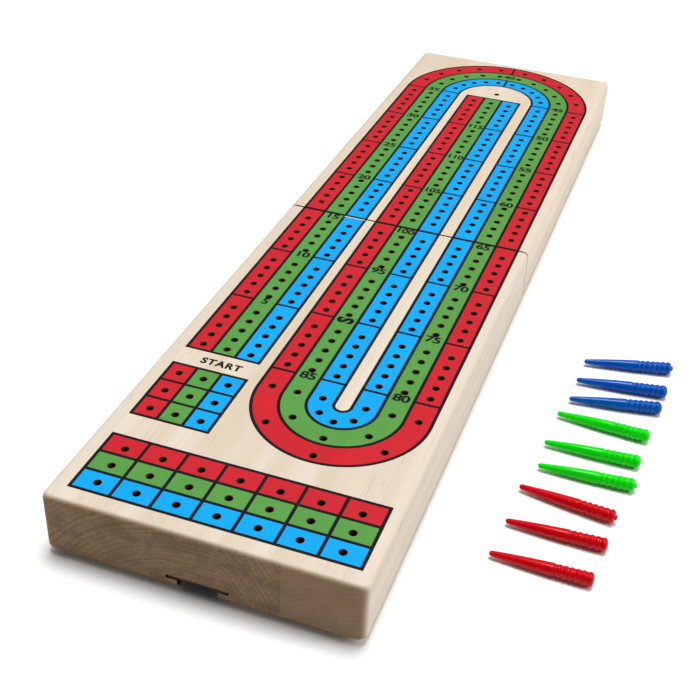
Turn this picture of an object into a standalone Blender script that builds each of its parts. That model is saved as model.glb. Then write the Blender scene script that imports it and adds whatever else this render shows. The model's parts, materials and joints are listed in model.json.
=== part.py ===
"""Folding three-track cribbage board with its nine pegs.

Metres, +Z up. The table is z = 0. +Y runs along the board from the start end to
the far end, and +X runs across it, towards the pegs that lie beside it. The
origin is the middle of the whole set on the table. The board itself is drawn in
a frame of its own: y = 0 is the saw line between its halves, z = 0 is the
underside, and x = 0 is the middle of its width.
"""

import math

import bmesh
import bpy
from mathutils import Matrix, Vector

# Board
BOARD_LENGTH = 0.381
BOARD_WIDTH = 0.099
BOARD_THICK = 0.021
SAW_GAP = 0.0004
CORNER_RADIUS = 0.0030
EDGE_RADIUS = 0.0020
CORNER_STEPS = 3
EDGE_STEPS = 2

# Printed course, which the peg holes follow, from its own middle at COURSE_X
COURSE_X = 0.0009
TRACK = 0.0087
COURSE_HALF = 0.0443
FRONT_SEGMENT = 0.0360
REAR_SEGMENT = 0.0355
FRONT_SEGMENTS = 3
REAR_SEGMENTS = 4
FAR_BEND_Y = 0.1415
NEAR_BEND_Y = -0.1189
NEAR_BEND_RADIUS = 0.0290
NEAR_BEND_X = COURSE_HALF - NEAR_BEND_RADIUS

# Peg holes
HOLE_RADIUS = 0.0013
HOLE_DEPTH = 0.0080
HOLE_SIDES = 6
HOLE_PITCH = 0.00615
HOLES_IN_GROUP = 5
FRONT_DRILL_SHIFT = -0.0023
FOLD_DRILL_SHIFT = 0.00175
FAR_BEND_FIRST = math.radians(16.5)
FAR_BEND_PITCH = math.radians(16.1)
NEAR_DRILL_DROP = 0.0014
NEAR_BEND_SIDE = math.radians(38)
NEAR_END_Y = -0.1175
FINISH_Y = 0.1485
START_BOX_Y = -0.1329
START_ROW_PITCH = 0.0101
GAMES_BOX_Y = -0.1716
GAMES_ROW_PITCH = 0.0081
GAMES_COLUMN_PITCH = 0.0125
GAMES_COLUMNS = 7

# T-slot, its lid and the peg compartment, all in the front half's underside
SLOT_X = -0.0006
MOUTH_HALF = 0.0063
GROOVE_HALF = 0.0097
GROOVE_LOW = 0.0032
GROOVE_HIGH = 0.0043
GROOVE_END = -0.0700
COMPARTMENT_HALF = 0.0081
COMPARTMENT_TOP = 0.0106
COMPARTMENT_FRONT = -0.1780
COMPARTMENT_BACK = -0.0740
LID_HALF = 0.0094
LID_THICK = 0.0008
LID_SIDE_GAP = 0.00015
LID_FRONT = -0.1904
LID_BACK = -0.0704
FINGER_HOLE_Y = -0.1850
FINGER_HOLE_RADIUS = 0.0025

# Hinges
HINGE_X = 0.0270
HINGE_HALF = 0.0100
AXIS_DROP = 0.00015
KNUCKLE_RADIUS = 0.0012
KNUCKLE_GAP = 0.00025
KNUCKLE_LENGTH = 0.0065
LEAF_LOW = 0.0001
LEAF_HIGH = 0.0010
LEAF_NEAR = 0.0015
LEAF_FAR = 0.0110
FIT_GAP = 0.00015
PIN_RADIUS = 0.0006
PIN_HEAD_RADIUS = 0.00095
PIN_HEAD = 0.0003
PIN_HALF = 0.0104
PIN_BORE_RADIUS = 0.00075
SCREW_X = 0.0060
SCREW_Y = 0.0066
SCREW_HEAD_RADIUS = 0.0017
SCREW_SHANK_RADIUS = 0.00085
SCREW_LENGTH = 0.0088

# Foot pads
FOOT_HEIGHT = 0.0016
FOOT_RADIUS = 0.0040
FOOT_GLUE_GAP = 0.0001
FOOT_X = 0.0380
FOOT_Y = 0.1800

# Pegs, each lying on its grip, which widens towards the head and so tips the peg down
PEG_LENGTH = 0.0320
PEG_GRIP_START = 0.0196
PEG_GRIP_END = 0.0308
PEG_GRIP_RADIUS = 0.0021
PEG_HEAD_RADIUS = 0.00235
PEG_SIDES = 10
PEG_PROFILE = [  # along the peg from its tip, radius
    (0.0000, 0.0006),
    (0.0006, 0.00095),
    (0.0120, 0.0017),
    (0.0190, 0.00205),
    (PEG_GRIP_START, PEG_GRIP_RADIUS),
    (PEG_GRIP_END, PEG_HEAD_RADIUS),
    (PEG_LENGTH, 0.0015),
]
PEG_TILT = math.atan((PEG_HEAD_RADIUS - PEG_GRIP_RADIUS) / (PEG_GRIP_END - PEG_GRIP_START))
PEG_TIP_HEIGHT = PEG_GRIP_RADIUS * math.cos(PEG_TILT) - PEG_GRIP_START * math.sin(PEG_TILT)
# Where each peg's tip lies, from the middle of the saw line, and its heading in degrees
PEGS_AT_REST = {
    "blue": [(0.0806, -0.0333, 12.6), (0.0801, -0.0459, 7.3), (0.0798, -0.0581, 10.5)],
    "green": [(0.0776, -0.0681, -3.3), (0.0767, -0.0854, 1.3), (0.0772, -0.0981, 2.0)],
    "red": [(0.0739, -0.1105, -7.1), (0.0735, -0.1278, 0.1), (0.0722, -0.1433, -0.6)],
}

SET_RIGHT = max(
    x + PEG_LENGTH * math.cos(math.radians(heading))
    for row in PEGS_AT_REST.values()
    for x, _, heading in row
)
BOARD_X = (BOARD_WIDTH / 2 - SET_RIGHT) / 2

MATERIALS = {  # colour, roughness, metallic
    "maple": ((0.83, 0.70, 0.52), 0.45, 0.0),
    "brass": ((0.72, 0.52, 0.20), 0.30, 1.0),
    "brown_plastic": ((0.05, 0.03, 0.02), 0.40, 0.0),
    "rubber": ((0.06, 0.06, 0.06), 0.80, 0.0),
    "blue_plastic": ((0.00, 0.12, 0.62), 0.25, 0.0),
    "green_plastic": ((0.01, 0.62, 0.03), 0.25, 0.0),
    "red_plastic": ((0.66, 0.00, 0.02), 0.25, 0.0),
}


def clear_scene():
    for obj in list(bpy.data.objects):
        bpy.data.objects.remove(obj, do_unlink=True)


def material(name):
    found = bpy.data.materials.get(name)
    if found:
        return found
    colour, roughness, metallic = MATERIALS[name]
    made = bpy.data.materials.new(name)
    made.use_nodes = True
    shader = made.node_tree.nodes["Principled BSDF"]
    shader.inputs["Base Color"].default_value = (*colour, 1.0)
    shader.inputs["Roughness"].default_value = roughness
    shader.inputs["Metallic"].default_value = metallic
    return made


def empty(name, location, parent=None):
    obj = bpy.data.objects.new(name, None)
    obj.location = location
    obj.parent = parent
    bpy.context.collection.objects.link(obj)
    return obj


def add(name, mesh, parent, location=(0, 0, 0), finish=None):
    obj = bpy.data.objects.new(name, mesh)
    obj.parent = parent
    obj.location = location
    if finish and not mesh.materials:
        mesh.materials.append(material(finish))
    bpy.context.collection.objects.link(obj)
    return obj


def add_cutter(name, mesh, parent, location=(0, 0, 0)):
    obj = add(name, mesh, parent, location)
    obj.hide_render = True
    obj.display_type = "WIRE"
    return obj


def boolean(obj, other, operation="DIFFERENCE"):
    modifier = obj.modifiers.new(other.name, "BOOLEAN")
    modifier.operation = operation
    modifier.solver = "EXACT"
    modifier.object = other


def mesh_from(name, bm):
    bmesh.ops.recalc_face_normals(bm, faces=bm.faces)
    mesh = bpy.data.meshes.new(name)
    bm.to_mesh(mesh)
    bm.free()
    return mesh


def add_rings(bm, rings):
    """A closed skin over rings of the same number of points, capped at both ends."""
    loops = [[bm.verts.new(point) for point in ring] for ring in rings]
    count = len(rings[0])
    for low, high in zip(loops, loops[1:]):
        for i in range(count):
            j = (i + 1) % count
            bm.faces.new((low[i], low[j], high[j], high[i]))
    bm.faces.new(reversed(loops[0]))
    bm.faces.new(loops[-1])


def add_box(bm, low, high):
    corners = [(low[0], low[1]), (high[0], low[1]), (high[0], high[1]), (low[0], high[1])]
    add_rings(bm, [[(x, y, z) for x, y in corners] for z in (low[2], high[2])])


def add_turned(bm, profile, sides, matrix):
    """A turned solid: the profile gives (distance along +Z, radius) pairs."""
    rings = []
    for along, radius in profile:
        turns = [2 * math.pi * i / sides for i in range(sides)]
        rings.append(
            [matrix @ Vector((radius * math.cos(t), radius * math.sin(t), along)) for t in turns]
        )
    add_rings(bm, rings)


def board_outline(inset):
    """Half a board seen from above, its outer end at +Y, its saw face kept in place."""
    half_x = BOARD_WIDTH / 2
    end = BOARD_LENGTH / 2
    points = [(-half_x + inset, SAW_GAP / 2), (half_x - inset, SAW_GAP / 2)]
    radius = CORNER_RADIUS - inset
    for side, start in ((1, 0.0), (-1, math.pi / 2)):
        centre_x = side * (half_x - CORNER_RADIUS)
        for step in range(CORNER_STEPS + 1):
            turn = start + step / CORNER_STEPS * math.pi / 2
            points.append(
                (
                    centre_x + radius * math.cos(turn),
                    end - CORNER_RADIUS + radius * math.sin(turn),
                )
            )
    return points


def board_half_mesh(name, flip):
    levels = []
    for step in range(EDGE_STEPS + 1):
        turn = step / EDGE_STEPS * math.pi / 2
        levels.append((EDGE_RADIUS * (1 - math.sin(turn)), EDGE_RADIUS * (1 - math.cos(turn))))
    levels += [(inset, BOARD_THICK - z) for inset, z in reversed(levels)]
    rings = []
    for inset, z in levels:
        rings.append([(flip * x, flip * y, z) for x, y in board_outline(inset)])
    bm = bmesh.new()
    add_rings(bm, rings)
    return mesh_from(name, bm)


def column_centres():
    """The x of each straight run of holes, with the red track first."""
    left = [-COURSE_HALF + TRACK * (i + 0.5) for i in range(3)]
    right = [-x for x in left]
    middle = [NEAR_BEND_X - NEAR_BEND_RADIUS + TRACK * (i + 0.5) for i in range(3)]
    return left, middle, right


def group_holes(columns, centre_y):
    middle_hole = (HOLES_IN_GROUP - 1) / 2
    rows = [centre_y + (i - middle_hole) * HOLE_PITCH for i in range(HOLES_IN_GROUP)]
    return [(x, y) for x in columns for y in rows]


def front_holes():
    left, middle, right = column_centres()
    holes = []
    for k in range(FRONT_SEGMENTS):
        centre_y = -(k + 0.5) * FRONT_SEGMENT + FRONT_DRILL_SHIFT
        holes += group_holes(left + middle + right, centre_y)
    for track in range(3):
        radius = NEAR_BEND_RADIUS - TRACK * (track + 0.5)
        for side in (-1, 1):
            holes.append((NEAR_BEND_X + side * radius, NEAR_END_Y))
        drill_y = NEAR_BEND_Y - NEAR_DRILL_DROP
        for turn in (NEAR_BEND_SIDE, math.pi / 2, math.pi - NEAR_BEND_SIDE):
            x = NEAR_BEND_X + radius * math.cos(turn)
            holes.append((x, drill_y - radius * math.sin(turn)))
    holes += [(x, START_BOX_Y + row * START_ROW_PITCH) for x in left for row in (-1, 0, 1)]
    for column in range(GAMES_COLUMNS):
        x = (column - (GAMES_COLUMNS - 1) / 2) * GAMES_COLUMN_PITCH
        holes += [(x, GAMES_BOX_Y + row * GAMES_ROW_PITCH) for row in (-1, 0, 1)]
    return holes


def rear_holes():
    left, middle, right = column_centres()
    holes = [(middle[1], FINISH_Y)]
    for k in range(REAR_SEGMENTS):
        shift = FOLD_DRILL_SHIFT if k == 0 else 0.0
        holes += group_holes(left + middle + right, (k + 0.5) * REAR_SEGMENT + shift)
    for track in range(3):
        radius = COURSE_HALF - TRACK * (track + 0.5)
        for i in range(HOLES_IN_GROUP):
            turn = FAR_BEND_FIRST + i * FAR_BEND_PITCH
            for side in (-1, 1):
                x = side * radius * math.cos(turn)
                holes.append((x, FAR_BEND_Y + radius * math.sin(turn)))
    return holes


def drill_mesh(name, centres):
    bm = bmesh.new()
    profile = [(-HOLE_DEPTH, HOLE_RADIUS), (HOLE_RADIUS, HOLE_RADIUS)]
    for x, y in centres:
        add_turned(bm, profile, HOLE_SIDES, Matrix.Translation((COURSE_X + x, y, BOARD_THICK)))
    return mesh_from(name, bm)


def t_slot_mesh():
    past_end = 0.002
    below = 0.001
    outline = [
        (-MOUTH_HALF, -below),
        (MOUTH_HALF, -below),
        (MOUTH_HALF, GROOVE_LOW),
        (GROOVE_HALF, GROOVE_LOW),
        (GROOVE_HALF, GROOVE_HIGH),
        (-GROOVE_HALF, GROOVE_HIGH),
        (-GROOVE_HALF, GROOVE_LOW),
        (-MOUTH_HALF, GROOVE_LOW),
    ]
    bm = bmesh.new()
    ends = (-BOARD_LENGTH / 2 - past_end, GROOVE_END)
    add_rings(bm, [[(SLOT_X + x, y, z) for x, z in outline] for y in ends])
    return mesh_from("t_slot", bm)


def compartment_mesh():
    into_groove = 0.0005
    bm = bmesh.new()
    add_box(
        bm,
        (SLOT_X - COMPARTMENT_HALF, COMPARTMENT_FRONT, GROOVE_HIGH - into_groove),
        (SLOT_X + COMPARTMENT_HALF, COMPARTMENT_BACK, COMPARTMENT_TOP),
    )
    return mesh_from("compartment", bm)


def hinge_recess_meshes(side):
    """Cutters for one half: leaf mortises, knuckle reliefs and screw pilot holes."""
    past = 0.001
    mortises = bmesh.new()
    reliefs = bmesh.new()
    pilots = bmesh.new()
    along_x = Matrix.Rotation(math.pi / 2, 4, "Y")
    relief = KNUCKLE_RADIUS + KNUCKLE_GAP
    relief_half = PIN_HALF + KNUCKLE_GAP
    for hinge_x in (-HINGE_X, HINGE_X):
        ends = sorted((-side * past, side * (LEAF_FAR + FIT_GAP)))
        add_box(
            mortises,
            (hinge_x - HINGE_HALF - FIT_GAP, ends[0], -past),
            (hinge_x + HINGE_HALF + FIT_GAP, ends[1], LEAF_HIGH + FIT_GAP),
        )
        axis = Matrix.Translation((hinge_x, 0, -AXIS_DROP)) @ along_x
        add_turned(reliefs, [(-relief_half, relief), (relief_half, relief)], 16, axis)
        pilot = SCREW_SHANK_RADIUS + FIT_GAP
        for x in (-SCREW_X, SCREW_X):
            place = Matrix.Translation((hinge_x + x, side * SCREW_Y, 0))
            depth = [(LEAF_HIGH - past / 2, pilot), (SCREW_LENGTH + 2 * FIT_GAP, pilot)]
            add_turned(pilots, depth, 8, place)
    return (
        mesh_from("mortises", mortises),
        mesh_from("knuckle_reliefs", reliefs),
        mesh_from("screw_pilots", pilots),
    )


def make_board_half(name, side, parent, location, holes):
    half = add(name, board_half_mesh(name, side), parent, location, "maple")
    boolean(half, add_cutter(name + "_drill", drill_mesh("drill", holes), parent, location))
    for label, mesh in zip(("mortise", "relief", "pilot"), hinge_recess_meshes(side)):
        boolean(half, add_cutter(name + "_" + label, mesh, parent, location))
    return half


def knuckle_outline():
    """Side view of a knuckle and the neck that joins it to its leaf, as (y, z)."""
    overlap = 0.0004
    top_turn = math.asin((LEAF_HIGH + AXIS_DROP) / KNUCKLE_RADIUS)
    low_turn = math.asin((LEAF_LOW + AXIS_DROP) / KNUCKLE_RADIUS) + 2 * math.pi
    points = [(LEAF_NEAR + overlap, LEAF_LOW), (LEAF_NEAR + overlap, LEAF_HIGH)]
    steps = 12
    for step in range(steps + 1):
        turn = top_turn + (low_turn - top_turn) * step / steps
        y = KNUCKLE_RADIUS * math.cos(turn)
        points.append((y, KNUCKLE_RADIUS * math.sin(turn) - AXIS_DROP))
    return points


def make_leaf(name, side, spans, parent, location):
    """One hinge leaf; spans are the stretches of the axis that its knuckles take."""
    plate = bmesh.new()
    ends = sorted((side * LEAF_NEAR, side * LEAF_FAR))
    add_box(plate, (-HINGE_HALF, ends[0], LEAF_LOW), (HINGE_HALF, ends[1], LEAF_HIGH))
    leaf = add(name, mesh_from(name, plate), parent, location, "brass")

    knuckles = bmesh.new()
    for span in spans:
        rings = [[(x, side * y, z) for y, z in knuckle_outline()] for x in span]
        add_rings(knuckles, rings)
    knuckle_mesh = mesh_from("knuckles", knuckles)
    boolean(leaf, add_cutter(name + "_knuckles", knuckle_mesh, parent, location), "UNION")

    bore = bmesh.new()
    past = HINGE_HALF + 0.001
    axis = Matrix.Translation((0, 0, -AXIS_DROP)) @ Matrix.Rotation(math.pi / 2, 4, "Y")
    add_turned(bore, [(-past, PIN_BORE_RADIUS), (past, PIN_BORE_RADIUS)], 12, axis)
    boolean(leaf, add_cutter(name + "_bore", mesh_from("bore", bore), parent, location))

    sinks = bmesh.new()
    head = SCREW_HEAD_RADIUS + FIT_GAP
    shank = SCREW_SHANK_RADIUS + FIT_GAP
    face = LEAF_LOW + FIT_GAP / 3
    profile = [(-0.0005, head), (face, head), (LEAF_HIGH, shank), (LEAF_HIGH + 0.0005, shank)]
    for x in (-SCREW_X, SCREW_X):
        add_turned(sinks, profile, 12, Matrix.Translation((x, side * SCREW_Y, 0)))
    boolean(leaf, add_cutter(name + "_sinks", mesh_from("sinks", sinks), parent, location))
    return leaf


def screw_mesh():
    face = LEAF_LOW + FIT_GAP / 3
    taper = 0.0018
    profile = [
        (face, SCREW_HEAD_RADIUS),
        (LEAF_HIGH, SCREW_SHANK_RADIUS),
        (SCREW_LENGTH - taper, SCREW_SHANK_RADIUS),
        (SCREW_LENGTH, SCREW_SHANK_RADIUS / 5),
    ]
    bm = bmesh.new()
    add_turned(bm, profile, 8, Matrix.Identity(4))
    mesh = mesh_from("screw", bm)
    mesh.materials.append(material("brass"))
    return mesh


def pin_mesh():
    neck = HINGE_HALF + 0.00005
    profile = [
        (-PIN_HALF, PIN_HEAD_RADIUS),
        (-neck, PIN_HEAD_RADIUS),
        (-neck, PIN_RADIUS),
        (neck, PIN_RADIUS),
        (neck, PIN_HEAD_RADIUS),
        (PIN_HALF, PIN_HEAD_RADIUS),
    ]
    bm = bmesh.new()
    add_turned(bm, profile, 10, Matrix.Rotation(math.pi / 2, 4, "Y"))
    mesh = mesh_from("hinge_pin", bm)
    mesh.materials.append(material("brass"))
    return mesh


def make_hinges(board, fold_axis):
    inner = KNUCKLE_LENGTH / 2
    outer = inner + KNUCKLE_GAP
    front_spans = [(-HINGE_HALF, -outer), (outer, HINGE_HALF)]
    rear_spans = [(-inner, inner)]
    screw = screw_mesh()
    pin = pin_mesh()
    for label, x in (("left", -HINGE_X), ("right", HINGE_X)):
        make_leaf(label + "_hinge_front_leaf", -1, front_spans, board, (x, 0, 0))
        make_leaf(label + "_hinge_rear_leaf", 1, rear_spans, fold_axis, (x, 0, AXIS_DROP))
        add(label + "_hinge_pin", pin, board, (x, 0, -AXIS_DROP))
        for number, dx in enumerate((-SCREW_X, SCREW_X), 1):
            front = (x + dx, -SCREW_Y, 0)
            rear = (x + dx, SCREW_Y, AXIS_DROP)
            add(f"{label}_hinge_front_screw_{number}", screw, board, front)
            add(f"{label}_hinge_rear_screw_{number}", screw, fold_axis, rear)


def make_lid(board):
    middle_y = (LID_FRONT + LID_BACK) / 2
    half_y = (LID_BACK - LID_FRONT) / 2
    bm = bmesh.new()
    add_box(bm, (-LID_HALF, -half_y, 0), (LID_HALF, half_y, LID_THICK))
    place = (SLOT_X, middle_y, GROOVE_LOW + LID_SIDE_GAP)
    lid = add("compartment_lid", mesh_from("compartment_lid", bm), board, place, "brown_plastic")
    hole = bmesh.new()
    depth = [(-LID_THICK, FINGER_HOLE_RADIUS), (2 * LID_THICK, FINGER_HOLE_RADIUS)]
    add_turned(hole, depth, 16, Matrix.Translation((0, FINGER_HOLE_Y - middle_y, 0)))
    boolean(lid, add_cutter("finger_hole", mesh_from("finger_hole", hole), board, place))


def make_feet(board, fold_axis):
    bm = bmesh.new()
    profile = [(-FOOT_HEIGHT, FOOT_RADIUS), (-FOOT_GLUE_GAP, FOOT_RADIUS)]
    add_turned(bm, profile, 16, Matrix.Identity(4))
    pad = mesh_from("foot_pad", bm)
    pad.materials.append(material("rubber"))
    for label, x in (("left", -FOOT_X), ("right", FOOT_X)):
        add(f"front_{label}_foot_pad", pad, board, (x, -FOOT_Y, 0))
        add(f"rear_{label}_foot_pad", pad, fold_axis, (x, FOOT_Y, AXIS_DROP))


def peg_mesh(colour):
    bm = bmesh.new()
    add_turned(bm, PEG_PROFILE, PEG_SIDES, Matrix.Rotation(math.pi / 2, 4, "Y"))
    mesh = mesh_from(colour + "_peg", bm)
    mesh.materials.append(material(colour + "_plastic"))
    return mesh


def make_pegs():
    for colour, row in PEGS_AT_REST.items():
        mesh = peg_mesh(colour)
        for number, (x, y, heading) in enumerate(row, 1):
            place = (BOARD_X + x, y, PEG_TIP_HEIGHT)
            peg = add(f"{colour}_peg_{number}", mesh, None, place)
            peg.rotation_euler = (0, -PEG_TILT, math.radians(heading))


def main():
    clear_scene()
    board = empty("board_frame", (BOARD_X, 0, FOOT_HEIGHT))
    fold_axis = empty("fold_axis", (0, 0, -AXIS_DROP), board)
    front = make_board_half("front_board_half", -1, board, (0, 0, 0), front_holes())
    boolean(front, add_cutter("front_t_slot", t_slot_mesh(), board))
    boolean(front, add_cutter("front_compartment", compartment_mesh(), board))
    make_board_half("rear_board_half", 1, fold_axis, (0, 0, AXIS_DROP), rear_holes())
    make_hinges(board, fold_axis)
    make_lid(board)
    make_feet(board, fold_axis)
    make_pegs()


main()
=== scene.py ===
import json
import math

import bmesh
import bpy
import numpy as np
from mathutils import Matrix, Vector, geometry


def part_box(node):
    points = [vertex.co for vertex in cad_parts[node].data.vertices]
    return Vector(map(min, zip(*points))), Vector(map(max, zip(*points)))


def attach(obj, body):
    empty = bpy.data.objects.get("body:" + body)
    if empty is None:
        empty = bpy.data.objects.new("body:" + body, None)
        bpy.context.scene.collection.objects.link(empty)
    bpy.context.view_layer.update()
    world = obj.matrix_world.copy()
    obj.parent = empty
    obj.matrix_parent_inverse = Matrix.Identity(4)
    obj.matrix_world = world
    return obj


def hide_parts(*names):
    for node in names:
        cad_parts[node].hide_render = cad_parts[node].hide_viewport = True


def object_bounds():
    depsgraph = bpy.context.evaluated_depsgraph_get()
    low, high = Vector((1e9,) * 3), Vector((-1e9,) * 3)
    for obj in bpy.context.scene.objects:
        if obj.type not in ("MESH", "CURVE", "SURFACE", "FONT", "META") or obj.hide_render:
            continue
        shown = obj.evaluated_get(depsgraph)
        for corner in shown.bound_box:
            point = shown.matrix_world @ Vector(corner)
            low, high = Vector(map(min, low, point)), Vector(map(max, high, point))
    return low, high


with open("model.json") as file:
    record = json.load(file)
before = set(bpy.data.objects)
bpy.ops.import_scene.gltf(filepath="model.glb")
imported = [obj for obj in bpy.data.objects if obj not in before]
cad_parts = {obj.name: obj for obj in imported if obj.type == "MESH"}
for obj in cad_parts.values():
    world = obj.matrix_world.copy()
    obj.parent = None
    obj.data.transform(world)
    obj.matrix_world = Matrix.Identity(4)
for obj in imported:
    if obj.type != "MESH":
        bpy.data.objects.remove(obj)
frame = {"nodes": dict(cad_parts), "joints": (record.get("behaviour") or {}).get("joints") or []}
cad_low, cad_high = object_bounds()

# ------------ sizes, in metres
MM = 0.001
CLOSE = 0.01 * MM

# The board's edges and its peg holes
EDGE_RADIUS = 0.0020
CORNER_RADIUS = 0.0030
EDGE_STEPS = 6
CORNER_STEPS = 8
DRILL_DEPTH = 0.0080
HOLE_RADIUS = 0.00122
HOLE_CHAMFER = 0.00012
HOLE_POINT = 0.0006
HOLE_SIDES = 24
CAD_HOLE_WIDTH = 2.2 * HOLE_RADIUS

# The printed course, measured from its own middle
COURSE_X = 0.0009
TRACK = 0.0087
COURSE_HALF = 0.0443
FRONT_SEGMENT = 0.0360
REAR_SEGMENT = 0.0355
FAR_BEND_Y = 0.1415
NEAR_BEND_Y = -0.1189
NEAR_BEND_RADIUS = 0.0290
NEAR_BEND_X = COURSE_HALF - NEAR_BEND_RADIUS
START_LINE_Y = -3 * FRONT_SEGMENT
END_LINE_Y = 4 * REAR_SEGMENT
START_BOX_Y = (-0.1472, -0.1180)
GAMES_BOX_Y = (-0.1838, -0.1582)
GAMES_COLUMNS = 7
LINE_WIDTH = 0.0011
ARC_STEPS = 72
TRACK_COLOURS = ("red", "green", "blue")

# What the saw cut leaves, and a short gap in the print beside it
SAW_LINE_WIDTH = 0.0003
SAW_CHAMFER = 0.00025
MISPRINT_X = (-0.0269, -0.0182)
MISPRINT_DEPTH = 0.0006

# The numbers, the turned letter of the middle track and the word over the first box
LABEL_SIZE = 0.0052
LABEL_WEIGHT = 0.034
LABEL_STRETCH = 1.13
LABEL_SPACING = 0.95
LABEL_BELOW_SAW = -0.0029
LETTER_CURVE_STEPS = 4
TURNED_LABEL = "S"
TURNED_SIZE = 0.0078
TURNED_WEIGHT = 0.052
TURNED_SHIFT = (0.0003, -0.0003)
START_WORD_PLACE = (-0.0293, -0.1134)
START_WORD_SIZE = 0.0044
START_WORD_WEIGHT = 0.045
START_WORD_SPACING = 1.16

# Turned pieces and sharp edges
ROUND_SIDES = 32
SHARP_EDGE = math.radians(35)
PEG_SHARP_EDGE = math.radians(50)

# ------------ places from the frame
front_low, front_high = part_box("front_board_half")
BOARD_X = (front_low.x + front_high.x) / 2
HALF_WIDTH = (front_high.x - front_low.x) / 2
TOP_Z = front_high.z
UNDER_Z = front_low.z
HINGE = next(j for j in frame["joints"] if j["name"] == "board_fold")
AXIS_Z = HINGE["pos_m"][2]
PRINT_X = BOARD_X + COURSE_X


# ------------ material helpers
SOCKETS = {"specular": "Specular IOR Level", "metallic": "Metallic"}


def new_material(name):
    mat = bpy.data.materials.new(name)
    mat.use_nodes = True
    return mat, mat.node_tree, mat.node_tree.nodes["Principled BSDF"]


def put(tree, socket, value):
    if isinstance(value, bpy.types.NodeSocket):
        tree.links.new(value, socket)
    else:
        socket.default_value = value


def node(tree, kind, inputs=(), **settings):
    made = tree.nodes.new(kind)
    for key, value in settings.items():
        setattr(made, key, value)
    for key, value in dict(inputs).items():
        put(tree, made.inputs[key], value)
    return made


def maths(tree, operation, a, b=0.0, c=0.0):
    made = node(tree, "ShaderNodeMath", {0: a, 1: b, 2: c}, operation=operation)
    return made.outputs[0]


def mix_colour(tree, factor, a, b):
    made = node(tree, "ShaderNodeMix", data_type="RGBA")
    for key, value in (("Factor", factor), ("A", a), ("B", b)):
        sockets = [s for s in made.inputs if s.name == key and s.enabled]
        put(tree, sockets[0], value)
    return next(s for s in made.outputs if s.enabled)


def noise(tree, vector, scale, detail=2.0, rough=0.5):
    inputs = {"Vector": vector, "Scale": scale, "Detail": detail, "Roughness": rough}
    return node(tree, "ShaderNodeTexNoise", inputs).outputs["Fac"]


def stretch(tree, vector, factors):
    made = node(tree, "ShaderNodeVectorMath", {0: vector, 1: factors}, operation="MULTIPLY")
    return made.outputs[0]


def ranged(tree, value, low, high, to_low=0.0, to_high=1.0):
    """Value's span from low to high, eased into the span from to_low to to_high."""
    inputs = {0: value, 1: low, 2: high, 3: to_low, 4: to_high}
    made = node(tree, "ShaderNodeMapRange", inputs, interpolation_type="SMOOTHSTEP")
    return made.outputs[0]


def tinted(tree, colour, value, low, high, strength, tone):
    """The colour, mixed with tone up to strength where value climbs from low to high."""
    return mix_colour(tree, ranged(tree, value, low, high, 0.0, strength), colour, tone)


def bump(tree, height, distance, strength=1.0):
    inputs = {"Height": height, "Distance": distance, "Strength": strength}
    return node(tree, "ShaderNodeBump", inputs).outputs["Normal"]


def object_place(tree):
    return node(tree, "ShaderNodeTexCoord").outputs["Object"]


def dress(tree, shader, colour, roughness, normal, **constants):
    """Links what varies over a surface; constants are set on the shader's own sockets."""
    put(tree, shader.inputs["Base Color"], colour)
    put(tree, shader.inputs["Roughness"], roughness)
    put(tree, shader.inputs["Normal"], normal)
    for name, value in constants.items():
        shader.inputs[SOCKETS[name]].default_value = value


def linear(*srgb):
    """A colour socket's value for red, green and blue from 0 to 255."""
    values = [v / 255 for v in srgb]
    out = [v / 12.92 if v <= 0.04045 else ((v + 0.055) / 1.055) ** 2.4 for v in values]
    return (*out, 1.0)


# ------------ wood and print
# Where each glued strip's growth rings are centred, and where the strips meet
PITHS = [(0.002, -0.033), (-0.020, -0.013), (0.070, -0.058)]
GLUE_LINES = [0.0057, 0.0246]
RING_PITCH = 0.0016
RING_WANDER = 0.008
RING_NOISE = 900.0
EVEN_RINGS = 0.14

# Noise scales per metre: across the plank, along its grain, and up
BEND_SCALES = (14, 3, 14)
FIBRE_SCALES = (950, 14, 950)
BAND_SCALES = (90, 2.2, 90)
FLECK_SCALES = (620, 70, 620)
PORE_SCALES = (1500, 500, 1500)
BLOTCH_SCALES = (170, 170, 260)

# How near the saw cut painted shade darkens the gap between the halves, and how far down the
# painted shade starts, is darkest and ends
SAW_GAP_SHADE_REACH = 0.8 * MM
PAINTED_SHADE_DEPTHS = (0.2 * MM, 3.0 * MM, 6.0 * MM)

# Tones of the bare wood
FRONT_TONE = (216, 205, 190)
REAR_TONE = (218, 205, 187)
DEEPER_BY = (26, 40, 58)
FLECK_TONE = linear(176, 140, 100)
END_PALE = linear(149, 120, 87)
END_DEEP = linear(94, 69, 45)
END_LAST_STRIP = linear(142, 114, 86)
HOLE_PALE = linear(124, 90, 58)
HOLE_DEEP = linear(80, 52, 31)
HOLE_PORE = linear(58, 36, 21)
# Painted shade: the near-black that darkens deep holes, the slot and the saw gap's chamfers,
# where their shadow falls
PAINTED_SHADE_TONE = linear(26, 15, 11)
WORN_PRINT = linear(232, 206, 170)


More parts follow.
